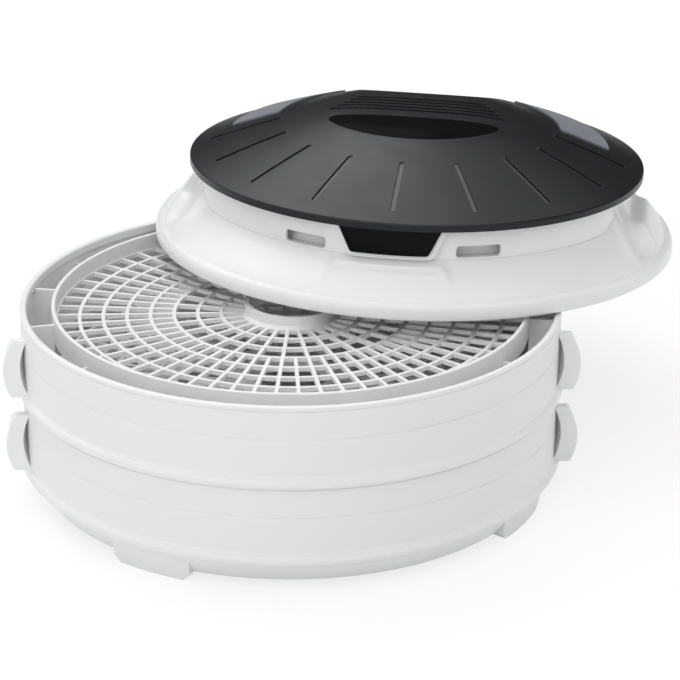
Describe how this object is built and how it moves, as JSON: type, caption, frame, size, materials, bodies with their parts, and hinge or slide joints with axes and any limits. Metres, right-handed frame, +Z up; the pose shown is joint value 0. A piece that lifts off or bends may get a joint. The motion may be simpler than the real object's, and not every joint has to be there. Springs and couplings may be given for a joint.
{
  "type": "food dehydrator",
  "caption": "Round stacking food dehydrator: base pan, drying trays with grid floors and end handles, and a domed powered head with fan and heater, set askew on the stack.",
  "frame": {"origin": "on the floor, on the vertical axis of the base and the trays", "axes": "+Z up along the stack; the front faces -Y; the handles of the trays lie along X"},
  "size_m": [0.4269, 0.4525, 0.2011],
  "materials": {
    "white_body": "satin white plastic",
    "white_gloss": "gloss white plastic",
    "charcoal": "satin charcoal plastic",
    "grip_grey": "soft grey",
    "black_gloss": "gloss black",
    "grey_plastic": "satin grey plastic",
    "zinc_steel": "zinc plated",
    "bright_steel": "bright sheet",
    "bearing_bronze": "sintered bronze",
    "core_iron": "laminated iron",
    "coil_tape": "taped copper winding",
    "bakelite": "moulded black",
    "wire_sleeve": "red sleeve",
    "black_rubber": "matt black"
  },
  "bodies": {
    "base": {"base_pan": "white_body"},
    "lower_tray": {"lower_tray_wall": "white_body", "lower_tray_handles": "white_body", "lower_tray_ring": "white_body", "lower_tray_ribs": "white_body", "lower_tray_grid": "white_body"},
    "upper_tray": {"upper_tray_wall": "white_body", "upper_tray_handles": "white_body", "upper_tray_ring": "white_body", "upper_tray_ribs": "white_body", "upper_tray_grid": "white_body"},
    "power_head": {"cover_flange": "white_gloss", "collar_housing": "white_gloss", "front_badge": "black_gloss", "top_cover": "charcoal", "nameplate": "black_gloss", "right_grip": "grip_grey", "left_grip": "grip_grey", "air_baffle": "grey_plastic", "baffle_screws": "zinc_steel", "shield_screws": "zinc_steel", "cover_screws": "zinc_steel", "heat_shield": "bright_steel", "motor_mounts": "black_rubber", "lower_bracket": "bright_steel", "upper_bracket": "bright_steel", "motor_bearings": "bearing_bronze", "motor_core": "core_iron", "motor_coil": "coil_tape", "motor_screws": "zinc_steel", "motor_nuts": "zinc_steel", "heater_ring": "bright_steel", "heater_clamps": "bright_steel", "thermostat": "bakelite", "thermal_fuse": "bakelite", "terminal_block": "grey_plastic", "lead_wires": "wire_sleeve", "cord_inlet": "black_rubber"},
    "fan": {"motor_rotor": "core_iron", "motor_shaft": "bright_steel", "impeller": "grey_plastic", "fan_clip": "zinc_steel"}
  },
  "joints": [
    {"name": "lower_tray_lift", "type": "slide", "parent": "base", "child": "lower_tray", "axis": [0, 0, 1], "range_m": [0, 0.1]},
    {"name": "upper_tray_lift", "type": "slide", "parent": "lower_tray", "child": "upper_tray", "axis": [0, 0, 1], "range_m": [0, 0.1]},
    {"name": "head_lift", "type": "slide", "parent": "upper_tray", "child": "power_head", "axis": [0, 0, 1], "range_m": [0, 0.15]},
    {"name": "fan_spin", "type": "hinge", "parent": "power_head", "child": "fan", "pos_m": [0.08446, 0.1154, 0.11617], "axis": [0.0234, 0.032, 0.9992], "continuous": true}
  ]
}
